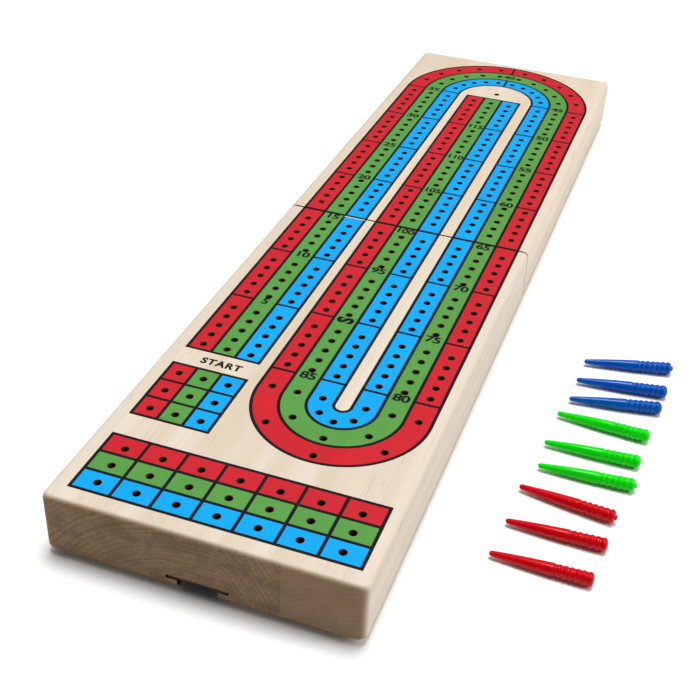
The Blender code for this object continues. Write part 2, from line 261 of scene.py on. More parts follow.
def growth_rings(tree, place):
    """The rings from 0 to 1 at a place in the plank, and the number of its strip."""
    parts = node(tree, "ShaderNodeSeparateXYZ", {0: place})
    across = maths(tree, "SUBTRACT", parts.outputs["X"], BOARD_X)
    height = maths(tree, "SUBTRACT", parts.outputs["Z"], UNDER_Z)
    pith_x, pith_z = PITHS[0]
    strip = 0.0
    for line, before, after in zip(GLUE_LINES, PITHS, PITHS[1:]):
        past = maths(tree, "GREATER_THAN", across, line)
        pith_x = maths(tree, "MULTIPLY_ADD", past, after[0] - before[0], pith_x)
        pith_z = maths(tree, "MULTIPLY_ADD", past, after[1] - before[1], pith_z)
        strip = maths(tree, "ADD", past, strip)
    dx = maths(tree, "SUBTRACT", across, pith_x)
    dz = maths(tree, "SUBTRACT", height, pith_z)
    radius = maths(tree, "SQRT", maths(tree, "ADD", maths(tree, "MULTIPLY", dx, dx),
                                       maths(tree, "MULTIPLY", dz, dz)))
    bend = noise(tree, stretch(tree, place, BEND_SCALES), 1.0, 3.0)
    radius = maths(tree, "MULTIPLY_ADD", bend, RING_WANDER, radius)
    turns = maths(tree, "MULTIPLY", radius, 2 * math.pi / RING_PITCH)
    even = maths(tree, "MULTIPLY_ADD", maths(tree, "SINE", turns), 0.5, 0.5)
    layers = node(tree, "ShaderNodeCombineXYZ", {0: maths(tree, "MULTIPLY", radius, RING_NOISE)})
    uneven = noise(tree, layers.outputs[0], 1.0, 3.0, 0.6)
    even_share = maths(tree, "MULTIPLY", even, EVEN_RINGS)
    return maths(tree, "MULTIPLY_ADD", uneven, 1 - EVEN_RINGS, even_share), strip


def wood_fields(tree):
    """Growth rings, fibres and flecks of a plank whose grain runs along Y."""
    place = object_place(tree)
    rings, strip = growth_rings(tree, place)
    fibres = noise(tree, stretch(tree, place, FIBRE_SCALES), 1.0, 3.0, 0.6)
    bands = noise(tree, stretch(tree, place, BAND_SCALES), 1.0, 2.0)
    flecks = noise(tree, stretch(tree, place, FLECK_SCALES), 1.0, 2.0)
    pores = noise(tree, stretch(tree, place, PORE_SCALES), 1.0, 2.0)
    return dict(place=place, rings=rings, fibres=fibres, bands=bands, flecks=flecks,
                pores=pores, strip=strip)


def end_grain_mask(tree):
    """1 on faces that look along the grain, 0 on the others."""
    facing = node(tree, "ShaderNodeTexCoord").outputs["Normal"]
    along = node(tree, "ShaderNodeSeparateXYZ", {0: facing}).outputs["Y"]
    return ranged(tree, maths(tree, "ABSOLUTE", along), 0.2, 0.95)


def long_grain(tree, f, tone):
    pale = linear(*tone)
    deep = linear(*[t - by for t, by in zip(tone, DEEPER_BY)])
    colour = tinted(tree, pale, f["bands"], 0.3, 0.75, 0.45, deep)
    colour = mix_colour(tree, maths(tree, "MULTIPLY", f["rings"], 0.16), colour, deep)
    colour = tinted(tree, colour, f["fibres"], 0.5, 0.72, 0.22, deep)
    return tinted(tree, colour, f["flecks"], 0.64, 0.74, 0.35, FLECK_TONE)


def end_grain(tree, f):
    colour = tinted(tree, END_PALE, f["rings"], 0.28, 0.72, 0.5, END_DEEP)
    colour = tinted(tree, colour, f["pores"], 0.5, 0.7, 0.55, END_DEEP)
    blotches = noise(tree, stretch(tree, f["place"], BLOTCH_SCALES), 1.0, 3.0)
    colour = tinted(tree, colour, blotches, 0.35, 0.7, 0.5, END_DEEP)
    last_strip = maths(tree, "GREATER_THAN", f["strip"], 1.5)
    return mix_colour(tree, maths(tree, "MULTIPLY", last_strip, 0.6), colour, END_LAST_STRIP)


def maple(name, tone):
    """Sanded maple: pale along the grain, and brown with rings where the ends are sawn."""
    mat, tree, shader = new_material(name)
    f = wood_fields(tree)
    mask = end_grain_mask(tree)
    colour = mix_colour(tree, mask, long_grain(tree, f, tone), end_grain(tree, f))
    rough = ranged(tree, f["fibres"], 0.3, 0.7, 0.42, 0.58)
    rough = maths(tree, "MULTIPLY_ADD", mask, 0.18, rough)
    relief = maths(tree, "MULTIPLY_ADD", f["rings"], 0.4, f["fibres"])
    dress(tree, shader, colour, rough, bump(tree, relief, 0.00006, 0.6), specular=0.35)
    return mat


def hole_wood():
    """Cut wood in the holes, the slot and the saw line's chamfers, with painted shade under the
    top face: darker down the holes and slot, near black along the saw gap.
    """
    mat, tree, shader = new_material("bare_cut_maple")
    f = wood_fields(tree)
    colour = mix_colour(tree, f["rings"], HOLE_PALE, HOLE_DEEP)
    colour = tinted(tree, colour, f["pores"], 0.45, 0.7, 0.5, HOLE_PORE)
    parts = node(tree, "ShaderNodeSeparateXYZ", {0: f["place"]})
    height = parts.outputs["Z"]
    from_saw = maths(tree, "ABSOLUTE", parts.outputs["Y"])
    in_cut = maths(tree, "LESS_THAN", from_saw, SAW_GAP_SHADE_REACH)
    shade_begins_z, shade_darkest_z, gap_shade_ends_z = (TOP_Z - depth for depth in PAINTED_SHADE_DEPTHS)
    # Painted shade: the saw line's chamfers near the top go near black, as the shadow in the gap
    # between the halves.
    saw_gap_painted_shade = maths(tree, "MULTIPLY", in_cut, ranged(tree, height, gap_shade_ends_z, shade_darkest_z))
    # Painted shade: hole and slot walls darken with depth below the top face, standing in for
    # their shadow.
    hole_painted_shade = ranged(tree, height, shade_darkest_z, shade_begins_z, 0.9, 0.0)
    colour = mix_colour(tree, maths(tree, "MAXIMUM", saw_gap_painted_shade, hole_painted_shade), colour, PAINTED_SHADE_TONE)
    rough = ranged(tree, f["pores"], 0.3, 0.7, 0.7, 0.9)
    dress(tree, shader, colour, rough, bump(tree, f["pores"], 0.0001), specular=0.2)
    return mat


def ink(name, tone):
    """Screen-printed ink that lets a little of the grain through."""
    mat, tree, shader = new_material(name)
    f = wood_fields(tree)
    full = linear(*tone)
    thin = (*[c * 0.72 for c in full[:3]], 1.0)
    worn = mix_colour(tree, 0.35, full, WORN_PRINT)
    mottle = noise(tree, f["place"], 60.0, 3.0)
    colour = tinted(tree, full, mottle, 0.3, 0.7, 0.24, thin)
    colour = tinted(tree, colour, f["fibres"], 0.52, 0.75, 0.24, thin)
    colour = tinted(tree, colour, f["flecks"], 0.66, 0.8, 0.12, worn)
    rough = ranged(tree, f["fibres"], 0.3, 0.7, 0.36, 0.5)
    dress(tree, shader, colour, rough, bump(tree, f["fibres"], 0.00004, 0.6), specular=0.12)
    return mat


INKS = {
    "red": (194, 30, 42),
    "green": (86, 148, 68),
    "blue": (0, 158, 228),
    "black": (14, 10, 16),
}
REGIONS = ["wood", *INKS, "bare"]
ink_materials = {name: ink("ink_" + name, tone) for name, tone in INKS.items()}
bare_material = hole_wood()
front_wood = maple("maple_front", FRONT_TONE)
rear_wood = maple("maple_rear", REAR_TONE)


# ------------ the printed course
def arc_points(centre, radius, start, end, steps=ARC_STEPS):
    turns = [start + (end - start) * i / steps for i in range(steps + 1)]
    return [(centre[0] + radius * math.cos(t), centre[1] + radius * math.sin(t)) for t in turns]


class Print:
    """What is printed on one half: black lines, coloured cells and labels."""

    def __init__(self, edge):
        self.edge = edge
        self.lines = []
        self.arcs = []
        self.cells = []
        self.bends = []
        self.labels = []
        self.missed = []

    def line(self, x0, y0, x1, y1, width=LINE_WIDTH):
        """A straight line along X or Y, whose ends reach over the corners."""
        w = width / 2
        low = [min(x0, x1) - w, min(y0, y1) - w]
        high = [max(x0, x1) + w, max(y0, y1) + w]
        if self.edge > 0:
            low[1] = max(low[1], self.edge)
        else:
            high[1] = min(high[1], self.edge)
        self.lines.append((*low, *high))

    def outlines(self):
        """Closed loops of points round every line, every arc and the gap in the print."""
        loops = []
        w = LINE_WIDTH / 2
        for x0, y0, x1, y1 in self.lines + self.missed:
            loops.append([(x0, y0), (x1, y0), (x1, y1), (x0, y1)])
        for centre, radius, upper in self.arcs:
            start, end = (0, math.pi) if upper else (math.pi, 2 * math.pi)
            outer = arc_points(centre, radius + w, start, end)
            inner = arc_points(centre, radius - w, end, start)
            loops.append(outer + inner)
        return loops

    def region(self, x, y):
        """Which of REGIONS a point of the top face lies in."""
        w = LINE_WIDTH / 2
        if abs(y) < abs(self.edge):
            return "bare"
        for x0, y0, x1, y1 in self.missed:
            if x0 <= x <= x1 and y0 <= y <= y1:
                return "wood"
        for x0, y0, x1, y1 in self.lines:
            if x0 <= x <= x1 and y0 <= y <= y1:
                return "black"
        for centre, radius, upper in self.arcs:
            if (y > centre[1]) == upper:
                if abs(math.hypot(x - centre[0], y - centre[1]) - radius) <= w:
                    return "black"
        for x0, y0, x1, y1, colour in self.cells:
            if x0 <= x <= x1 and y0 <= y <= y1:
                return colour
        for centre, low, high, upper, colour in self.bends:
            if (y > centre[1]) == upper:
                if low <= math.hypot(x - centre[0], y - centre[1]) <= high:
                    return colour
        return "wood"

    def tracks(self, first_x, step, y0, y1):
        """Three straight tracks side by side, red first, with their four lines."""
        for i, colour in enumerate(TRACK_COLOURS):
            xs = sorted((first_x + step * i, first_x + step * (i + 1)))
            self.cells.append((xs[0], min(y0, y1), xs[1], max(y0, y1), colour))
        for i in range(4):
            self.line(first_x + step * i, y0, first_x + step * i, y1)

    def bend(self, centre, radius, upper):
        """Three curved tracks, red outside, with their four lines."""
        for i, colour in enumerate(TRACK_COLOURS):
            outer = radius - TRACK * i
            self.bends.append((centre, outer - TRACK, outer, upper, colour))
        for i in range(4):
            self.arcs.append((centre, radius - TRACK * i, upper))

    def rung(self, first_x, step, y, label):
        """A dividing line; where a number stands in it, the green track is left open."""
        if label is None:
            self.line(first_x, y, first_x + 3 * step, y)
            return
        self.line(first_x, y, first_x + step, y)
        self.line(first_x + 2 * step, y, first_x + 3 * step, y)
        x = first_x + 1.5 * step
        if label == TURNED_LABEL:
            self.labels.append((label, x + TURNED_SHIFT[0], y + TURNED_SHIFT[1], TURNED_SIZE))
        else:
            self.labels.append((label, x, y, LABEL_SIZE))

    def rungs(self, segment, labels_of):
        for block, labels in labels_of.items():
            for k, label in enumerate(labels, 1):
                self.rung(*block, k * segment, label)

    def saw_line(self, first_x, step):
        """The part of a dividing line that the saw cut leaves on this half."""
        y = self.edge + math.copysign(SAW_LINE_WIDTH / 2, self.edge)
        self.line(first_x, y, first_x + 3 * step, y, SAW_LINE_WIDTH)


# Each straight block of three tracks: where its red side is, and the step to the next track
LEFT_BLOCK = (-COURSE_HALF, TRACK)
MIDDLE_BLOCK = (NEAR_BEND_X - NEAR_BEND_RADIUS, TRACK)
RIGHT_BLOCK = (COURSE_HALF, -TRACK)


def start_box(p):
    low, high = START_BOX_Y
    p.tracks(*LEFT_BLOCK, low, high)
    for i in range(4):
        y = low + (high - low) * i / 3
        p.line(-COURSE_HALF, y, -COURSE_HALF + 3 * TRACK, y)
    p.labels.append(("START", *START_WORD_PLACE, START_WORD_SIZE))


def games_box(p):
    low, high = GAMES_BOX_Y
    row = (high - low) / 3
    for i, colour in enumerate(reversed(TRACK_COLOURS)):
        p.cells.append((-COURSE_HALF, low + row * i, COURSE_HALF, low + row * (i + 1), colour))
    for i in range(4):
        p.line(-COURSE_HALF, low + row * i, COURSE_HALF, low + row * i)
    for i in range(GAMES_COLUMNS + 1):
        x = -COURSE_HALF + 2 * COURSE_HALF * i / GAMES_COLUMNS
        p.line(x, low, x, high)


def front_print(edge):
    p = Print(edge)
    p.tracks(*LEFT_BLOCK, edge, START_LINE_Y)
    p.tracks(*MIDDLE_BLOCK, edge, NEAR_BEND_Y)
    p.tracks(*RIGHT_BLOCK, edge, NEAR_BEND_Y)
    p.rungs(-FRONT_SEGMENT, {
        LEFT_BLOCK: ["10", "5", None],
        MIDDLE_BLOCK: ["95", TURNED_LABEL, "85"],
        RIGHT_BLOCK: ["70", "75", "80"],
    })
    p.missed.append((MISPRINT_X[0], edge - MISPRINT_DEPTH, MISPRINT_X[1], edge))
    for block, label in ((LEFT_BLOCK, "15"), (MIDDLE_BLOCK, "100"), (RIGHT_BLOCK, "65")):
        p.saw_line(*block)
        p.labels.append((label, block[0] + 1.5 * block[1], LABEL_BELOW_SAW, LABEL_SIZE))
    p.bend((NEAR_BEND_X, NEAR_BEND_Y), NEAR_BEND_RADIUS, False)
    start_box(p)
    games_box(p)
    return p


def rear_print(edge):
    p = Print(edge)
    for block in (LEFT_BLOCK, RIGHT_BLOCK):
        p.tracks(*block, edge, FAR_BEND_Y)
    p.tracks(*MIDDLE_BLOCK, edge, END_LINE_Y)
    for block in (LEFT_BLOCK, MIDDLE_BLOCK, RIGHT_BLOCK):
        p.saw_line(*block)
    p.rungs(REAR_SEGMENT, {
        LEFT_BLOCK: ["20", "25", "30", "35"],
        MIDDLE_BLOCK: ["105", "110", "115", None],
        RIGHT_BLOCK: ["60", "55", "50", "45"],
    })
    p.bend((0.0, FAR_BEND_Y), COURSE_HALF, True)
    for i in (0, 2):
        outer = FAR_BEND_Y + COURSE_HALF - TRACK * i
        p.line(0.0, outer - TRACK, 0.0, outer)
    p.labels.append(("40", 0.0, FAR_BEND_Y + COURSE_HALF - 1.5 * TRACK, LABEL_SIZE))
    return p


def label_curve(text, size):
    curve = bpy.data.curves.new("label", "FONT")
    curve.body = text
    curve.size = size
    curve.align_x = "CENTER"
    curve.align_y = "CENTER"
    curve.resolution_u = LETTER_CURVE_STEPS
    is_number = text.isdigit()
    curve.space_character = LABEL_SPACING if is_number else START_WORD_SPACING
    weight = LABEL_WEIGHT if is_number else START_WORD_WEIGHT
    curve.offset = size * (TURNED_WEIGHT if text == TURNED_LABEL else weight)
    return curve


def glyph_edges(labels):
    """Outline edges of the labels, as ((x, y), (x, y)) pairs round each letter."""
    pairs = []
    for text, x, y, size in labels:
        curve = label_curve(text, size)
        holder = bpy.data.objects.new("label", curve)
        bpy.context.collection.objects.link(holder)
        bm = bmesh.new()
        bm.from_mesh(holder.to_mesh())
        bmesh.ops.remove_doubles(bm, verts=bm.verts, dist=1e-7)
        wide = LABEL_STRETCH if len(text) == 2 else 1.0
        turn = Matrix.Rotation(math.pi / 2 if text == TURNED_LABEL else 0.0, 3, "Z")
        for vert in bm.verts:
            vert.co = turn @ Vector((vert.co.x * wide, vert.co.y, 0.0)) + Vector((x, y, 0.0))
        for edge in bm.edges:
            if len(edge.link_faces) == 1:
                a, b = edge.verts[0].co, edge.verts[1].co
                pairs.append(((a.x, a.y), (b.x, b.y)))
        bm.free()
        holder.to_mesh_clear()
        bpy.data.objects.remove(holder)
        bpy.data.curves.remove(curve)
    return pairs


def inside_edges(points, pairs, at_once=2000):
    """For each point, whether the closed outlines in pairs hold it."""
    held = np.zeros(len(points), bool)
    if not pairs:
        return held
    ax, ay = np.array([p[0] for p in pairs]).T
    bx, by = np.array([p[1] for p in pairs]).T
    rise = np.where(by == ay, 1.0, by - ay)
    for start in range(0, len(points), at_once):
        some = points[start : start + at_once]
        x, y = some[:, 0, None], some[:, 1, None]
        crosses = (ay > y) != (by > y)
        x_cross = ax + (y - ay) / rise * (bx - ax)
        held[start : start + at_once] = (crosses & (x_cross > x)).sum(1) % 2 == 1
    return held


# ------------ the board's halves
def drilled_holes(name):
    """The centres of the peg holes, from the CAD half's own drilled floors."""
    floor_z = TOP_Z - DRILL_DEPTH
    corners = {
        (round(v.co.x, 6), round(v.co.y, 6))
        for v in frame["nodes"][name].data.vertices
        if abs(v.co.z - floor_z) < 2 * CLOSE
    }
    centres = []
    left = sorted(corners)
    while left:
        x, y = left[0]
        near = [c for c in left if math.hypot(c[0] - x, c[1] - y) < CAD_HOLE_WIDTH]
        left = [c for c in left if c not in near]
        if len(near) > 2:
            centres.append(tuple(sum(v) / len(near) for v in zip(*near)))
    return centres


def half_outline(side, inset, saw_y, end_y):
    """One half seen from above, counter-clockwise, with its saw face kept in place."""
    across = HALF_WIDTH - inset
    points = [(-across, saw_y), (across, saw_y), (across, saw_y + SAW_CHAMFER)]
    for corner, start in ((1, 0.0), (-1, math.pi / 2)):
        centre = (corner * (HALF_WIDTH - CORNER_RADIUS), end_y - CORNER_RADIUS)
        radius = CORNER_RADIUS - inset
        points += arc_points(centre, radius, start, start + math.pi / 2, CORNER_STEPS)
    points.append((-across, saw_y + SAW_CHAMFER))
    return [(BOARD_X + side * x, side * y) for x, y in points]


def add_rings(bm, rings):
    """A closed skin through rings of equally many points, with a face over each end."""
    loops = [[bm.verts.new(p) for p in ring] for ring in rings]
    count = len(rings[0])
    for low, high in zip(loops, loops[1:]):
        for i in range(count):
            j = (i + 1) % count
            bm.faces.new((low[i], low[j], high[j], high[i])).smooth = True
    bm.faces.new(reversed(loops[0]))
    bm.faces.new(loops[-1])


def object_from(name, bm, materials=()):
    mesh = bpy.data.meshes.new(name)
    bm.to_mesh(mesh)
    bm.free()
    for mat in materials:
        mesh.materials.append(mat)
    made = bpy.data.objects.new(name, mesh)
    bpy.context.collection.objects.link(made)
    return made


def carve(bm, others, operation="DIFFERENCE"):
    """The mesh with the other closed meshes taken away, or joined on; all are used up."""
    target = object_from("carve_target", bm)
    tools = []
    for other in others:
        tool = object_from("carve_tool", other)
        modifier = target.modifiers.new("carve", "BOOLEAN")
        modifier.operation = operation
        modifier.solver = "EXACT"
        modifier.object = tool
        tools.append(tool)
    bpy.context.view_layer.update()
    evaluated = target.evaluated_get(bpy.context.evaluated_depsgraph_get())
    out = bmesh.new()
    out.from_mesh(evaluated.to_mesh())
    for used in [target, *tools]:
        mesh = used.data
        bpy.data.objects.remove(used)
        bpy.data.meshes.remove(mesh)
    return out


def box_mesh(low, high):
    bm = bmesh.new()
    corners = [(low[0], low[1]), (high[0], low[1]), (high[0], high[1]), (low[0], high[1])]
    add_rings(bm, [[(x, y, z) for x, y in corners] for z in (low[2], high[2])])
    return bm


def turned_mesh(profile, sides, matrix):
    """A closed turned solid; profile gives (distance along +Z, radius)."""
    bm = bmesh.new()
    turns = [2 * math.pi * i / sides for i in range(sides)]
    rings = []
    for along, radius in profile:
        ring = [Vector((radius * math.cos(t), radius * math.sin(t), along)) for t in turns]
        rings.append([matrix @ v for v in ring])
    add_rings(bm, rings)
    return bm


def on_hinge_axis(x):
    """Where a turned solid lies along the hinges' axis, with its start at x."""
    return Matrix.Translation((x, 0, AXIS_Z)) @ Matrix.Rotation(math.pi / 2, 4, "Y")


# The T-slot and the peg compartment, which the lid's box places
lid_low, lid_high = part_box("compartment_lid")
SLOT_X = (lid_low.x + lid_high.x) / 2
SLOT_PAST = 0.002
MOUTH_HALF = 0.0063
GROOVE_HALF = (lid_high.x - lid_low.x) / 2 + 0.3 * MM
GROOVE_LOW = lid_low.z - 0.2 * MM
GROOVE_HIGH = lid_high.z + 0.2 * MM
GROOVE_END = lid_high.y + 0.4 * MM
COMPARTMENT_HALF = 0.0081
COMPARTMENT_Y = (-0.1780, -0.0740)
COMPARTMENT_TOP = UNDER_Z + 0.0106


def slot_cutters():
    """The T-slot that the lid slides in, and the compartment over it."""
    w, g = MOUTH_HALF, GROOVE_HALF
    low, high = GROOVE_LOW, GROOVE_HIGH
    outline = [(-w, UNDER_Z - SLOT_PAST), (w, UNDER_Z - SLOT_PAST), (w, low), (g, low)]
    outline += [(g, high), (-g, high), (-g, low), (-w, low)]
    slot = bmesh.new()
    ends = (GROOVE_END, front_low.y - SLOT_PAST)
    add_rings(slot, [[(SLOT_X + x, y, z) for x, z in outline] for y in ends])
    pocket = box_mesh(
        (SLOT_X - COMPARTMENT_HALF, COMPARTMENT_Y[0], (low + high) / 2),
        (SLOT_X + COMPARTMENT_HALF, COMPARTMENT_Y[1], COMPARTMENT_TOP),
    )
    return [slot, pocket]


MORTISE_GAP = 0.15 * MM
PIN_END_GAP = 0.25 * MM
KNUCKLE_RELIEF = 1.45 * MM


def hinge_cutters(side):
    """Leaf mortises and knuckle reliefs round the CAD hinges, for one half."""
    gap = MORTISE_GAP
    cutters = []
    for hand in ("left", "right"):
        leaf = "front" if side < 0 else "rear"
        low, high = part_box(f"{hand}_hinge_{leaf}_leaf")
        far = low.y - gap if side < 0 else high.y + gap
        ends = sorted((far, -side * MM))
        cutters.append(
            box_mesh((low.x - gap, ends[0], UNDER_Z - MM), (high.x + gap, ends[1], high.z + gap))
        )
        pin_low, pin_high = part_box(f"{hand}_hinge_pin")
        half = (pin_high.x - pin_low.x) / 2 + PIN_END_GAP
        profile = [(-half, KNUCKLE_RELIEF), (half, KNUCKLE_RELIEF)]
        place = on_hinge_axis((pin_low.x + pin_high.x) / 2)
        cutters.append(turned_mesh(profile, ROUND_SIDES, place))
    return cutters


def add_loop(points, edges, around):
    first = len(points)
    count = len(around)
    points.extend(around)
    edges.extend((first + i, first + (i + 1) % count) for i in range(count))


def split_top(half_print, outline, holes, rim, pairs):
    """The top face's points and flat pieces, split by the print, the holes and the labels."""
    points = []
    edges = []
    add_loop(points, edges, [(x - PRINT_X, y) for x, y in outline])
    edges.append(tuple(i for i, (_, y) in enumerate(outline) if abs(y - half_print.edge) < 1e-7))
    for around in half_print.outlines():
        add_loop(points, edges, around)
    turns = [2 * math.pi * (i + 0.5) / HOLE_SIDES for i in range(HOLE_SIDES)]
    for x, y in holes:
        add_loop(points, edges, [(x + rim * math.cos(t), y + rim * math.sin(t)) for t in turns])
    for a, b in pairs:
        points.extend((a, b))
        edges.append((len(points) - 2, len(points) - 1))
    scaled = [Vector((x / MM, y / MM)) for x, y in points]
    verts, _, faces, *_ = geometry.delaunay_2d_cdt(scaled, edges, [], 0, 1e-5)
    return np.array([(v.x * MM, v.y * MM) for v in verts]), faces


def add_top(bm, half_print, outline, holes):
    """The printed top face, with every hole's walls below it."""
    rim = HOLE_RADIUS + HOLE_CHAMFER
    pairs = glyph_edges(half_print.labels)
    flat, faces = split_top(half_print, outline, holes, rim, pairs)
    centres = np.array([flat[list(f)].mean(0) for f in faces])
    in_label = inside_edges(centres, pairs)
    in_hole = inside_holes(centres, np.array(holes), rim)
    top = [bm.verts.new((x + PRINT_X, y, TOP_Z)) for x, y in flat]
    made_faces = []
    for face, centre, labelled, drilled in zip(faces, centres, in_label, in_hole):
        if drilled:
            continue
        region = "black" if labelled else half_print.region(*centre)
        made = bm.faces.new([top[i] for i in face])
        made.normal_update()
        if made.normal.z < 0:
            made.normal_flip()
        made.material_index = REGIONS.index(region)
        made_faces.append(made)
    add_hole_walls(bm, made_faces, holes, rim)
    bmesh.ops.delete(bm, geom=[v for v in top if not v.link_faces], context="VERTS")


def inside_holes(points, holes, rim):
    """For each point, whether it lies inside the ring of points round a hole."""
    sector = 2 * math.pi / HOLE_SIDES
    away = points[:, None, :] - holes[None, :, :]
    nearest = np.hypot(away[..., 0], away[..., 1]).argmin(1)
    away = away[np.arange(len(points)), nearest]
    turn = np.arctan2(away[:, 1], away[:, 0])
    off_middle = (turn + sector / 2) % sector - sector / 2
    return np.hypot(away[:, 0], away[:, 1]) * np.cos(off_middle) < rim * math.cos(sector / 2)


def hole_rims(top_faces, holes, rim):
    """For each hole, the top face's open edges round it."""
    rims = {}
    centres = np.array(holes)
    for face in top_faces:
        for corner in face.loops:
            if len(corner.edge.link_faces) != 1:
                continue
            start, end = corner.vert, corner.link_loop_next.vert
            x = start.co.x - PRINT_X
            away = np.hypot(centres[:, 0] - x, centres[:, 1] - start.co.y)
            nearest = int(away.argmin())
            if away[nearest] < rim * 1.001:
                rims.setdefault(nearest, []).append((start, end))
    return rims


def add_hole_walls(bm, top_faces, holes, rim):
    """A chamfer, a wall and a pointed floor below every open rim of the top face."""
    bare = REGIONS.index("bare")
    depths = (HOLE_CHAMFER, DRILL_DEPTH)
    for nearest, rim_edges in hole_rims(top_faces, holes, rim).items():
        x, y = holes[nearest]
        centre = Vector((x + PRINT_X, y, 0.0))
        point = bm.verts.new((centre.x, centre.y, TOP_Z - DRILL_DEPTH - HOLE_POINT))
        lower = {}
        for start, _ in rim_edges:
            out = start.co - centre
            out.z = 0.0
            out *= HOLE_RADIUS / rim
            under = (centre.x + out.x, centre.y + out.y)
            lower[start] = [bm.verts.new((*under, TOP_Z - depth)) for depth in depths]
        for start, end in rim_edges:
            (start_1, start_2), (end_1, end_2) = lower[start], lower[end]
            for corners in ((end, start, start_1, end_1), (end_1, start_1, start_2, end_2)):
                wall = bm.faces.new(corners)
                wall.smooth = True
                wall.material_index = bare
            cone = bm.faces.new((end_2, start_2, point))
            cone.material_index = bare


def in_slot(face):
    """Whether a face is a wall of the T-slot or of the peg compartment."""
    middle = face.calc_center_median()
    return (
        abs(middle.x - SLOT_X) < GROOVE_HALF + CLOSE
        and front_low.y + CLOSE < middle.y < GROOVE_END + CLOSE
        and UNDER_Z + CLOSE < middle.z < COMPARTMENT_TOP + CLOSE
    )


def break_saw_edges(bm, saw_y):
    """Bevels the edges of the saw face along the top and down both sides."""
    for vert in bm.verts:
        if abs(abs(vert.co.y) - saw_y) > CLOSE:
            continue
        across = vert.co.x - BOARD_X
        past_x = (abs(across) - HALF_WIDTH + EDGE_RADIUS) / EDGE_RADIUS
        past_z = (vert.co.z - TOP_Z + EDGE_RADIUS) / EDGE_RADIUS
        vert.co.x -= math.copysign(SAW_CHAMFER * min(max(past_x, 0.0), 1.0), across)
        vert.co.z -= SAW_CHAMFER * min(max(past_z, 0.0), 1.0)


def shell_rings(side, saw_y, end_y):
    """Rings of points up a half's rounded sides, from its underside to its top face."""
    levels = []
    for step in range(EDGE_STEPS + 1):
        turn = step / EDGE_STEPS * math.pi / 2
        levels.append((EDGE_RADIUS * (1 - math.sin(turn)), EDGE_RADIUS * (1 - math.cos(turn))))
    heights = [(inset, UNDER_Z + z) for inset, z in levels]
    heights += [(inset, TOP_Z - z) for inset, z in reversed(levels)]
    rings = []
    for inset, z in heights:
        outline = half_outline(side, inset, saw_y, end_y)
        rings.append([(x, y, z) for x, y in outline])
    return rings


def make_half(name, node_name, body, side, wood):
    """One half of the board; side is -1 in front of the saw cut and 1 behind it."""
    low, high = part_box(node_name)
    saw_y = abs(high.y if side < 0 else low.y)
    end_y = abs(low.y if side < 0 else high.y)
    rings = shell_rings(side, saw_y, end_y)
    shell = bmesh.new()
    add_rings(shell, rings)
    cutters = hinge_cutters(side)
    if side < 0:
        cutters += slot_cutters()
    bm = carve(shell, cutters)
    lids = [f for f in bm.faces if f.normal.z > 0.99 and f.calc_center_median().z > TOP_Z - 1e-5]
    bmesh.ops.delete(bm, geom=lids, context="FACES_ONLY")
    # Slot and compartment walls take the cut wood, whose painted shade makes them near black.
    for face in bm.faces:
        if in_slot(face):
            face.material_index = REGIONS.index("bare")
    edge = side * (saw_y + SAW_CHAMFER)
    half_print = front_print(edge) if side < 0 else rear_print(edge)
    holes = [(x - PRINT_X, y) for x, y in drilled_holes(node_name)]
    outline = [(x, y) for x, y, _ in rings[-1]]
    add_top(bm, half_print, outline, holes)
    bmesh.ops.remove_doubles(bm, verts=bm.verts, dist=2e-6)
    break_saw_edges(bm, saw_y)
    half = object_from(name, bm, [wood, *ink_materials.values(), bare_material])
    half.data.set_sharp_from_angle(angle=SHARP_EDGE)
    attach(half, body)
    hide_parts(node_name)


make_half("front_board", "front_board_half", "front_half", -1, front_wood)
make_half("rear_board", "rear_board_half", "rear_half", 1, rear_wood)


# ------------ pegs
PEG_LENGTH = 0.0320
PEG_TIP_RADIUS = 0.0009
PEG_SHOULDER = (0.0190, 0.00205)
GRIP_START = 0.0193
GRIP_END = 0.0302
GRIP_RADIUS = 0.0021
HEAD_RADIUS = 0.00232
RIB_DEPTH = 0.00032
RIBS = 6
PEG_SIDES = 40
PEG_TONES = {"red": (200, 0, 16), "green": (8, 218, 8), "blue": (0, 84, 180)}
NUBBED_PEGS = ("blue_peg_1", "green_peg_3", "red_peg_1")
SHORT_PEGS = ("red_peg_2", "red_peg_3")
SHORT_BY = 0.0005
NUB_LENGTH = 0.6 * MM
NUB_RIM = 0.2 * MM
NUB_RADIUS = 0.9 * MM
HEAD_FLAT_RADIUS = 0.5 * MM
TAPER_FULLNESS = 0.12 * MM
TIP_STEPS = 5
TAPER_STEPS = 12
STEPS_PER_RIB = 8
HEAD_STEPS = 6


def quarter_turns(steps):
    """Angles up to a right angle, without the first one, 0."""
    return [math.pi / 2 * step / steps for step in range(1, steps + 1)]


def plastic(name, tone):
    """Glossy moulded plastic."""
    mat, tree, shader = new_material(name)
    place = object_place(tree)
    full = linear(*tone)
    deep = (*[c * 0.8 for c in full[:3]], 1.0)
    swirl = noise(tree, place, 140.0, 3.0)
    colour = tinted(tree, full, swirl, 0.35, 0.7, 0.5, deep)
    rough = ranged(tree, noise(tree, place, 900.0, 3.0), 0.35, 0.75, 0.07, 0.15)
    dress(tree, shader, colour, rough, bump(tree, swirl, 0.00005, 0.5), specular=0.18)
    return mat


def shaft_profile():
    """Distance and radius along a peg's round tip and its taper."""
    tip = PEG_TIP_RADIUS
    shoulder_at, shoulder = PEG_SHOULDER
    profile = [(0.0, tip / 5)]
    for turn in quarter_turns(TIP_STEPS):
        profile.append((tip * (1 - math.cos(turn)), tip * math.sin(turn)))
    for step in range(1, TAPER_STEPS + 1):
        t = step / TAPER_STEPS
        radius = tip + (shoulder - tip) * t + TAPER_FULLNESS * math.sin(math.pi * t)
        profile.append((tip + (shoulder_at - tip) * t, radius))
    return profile


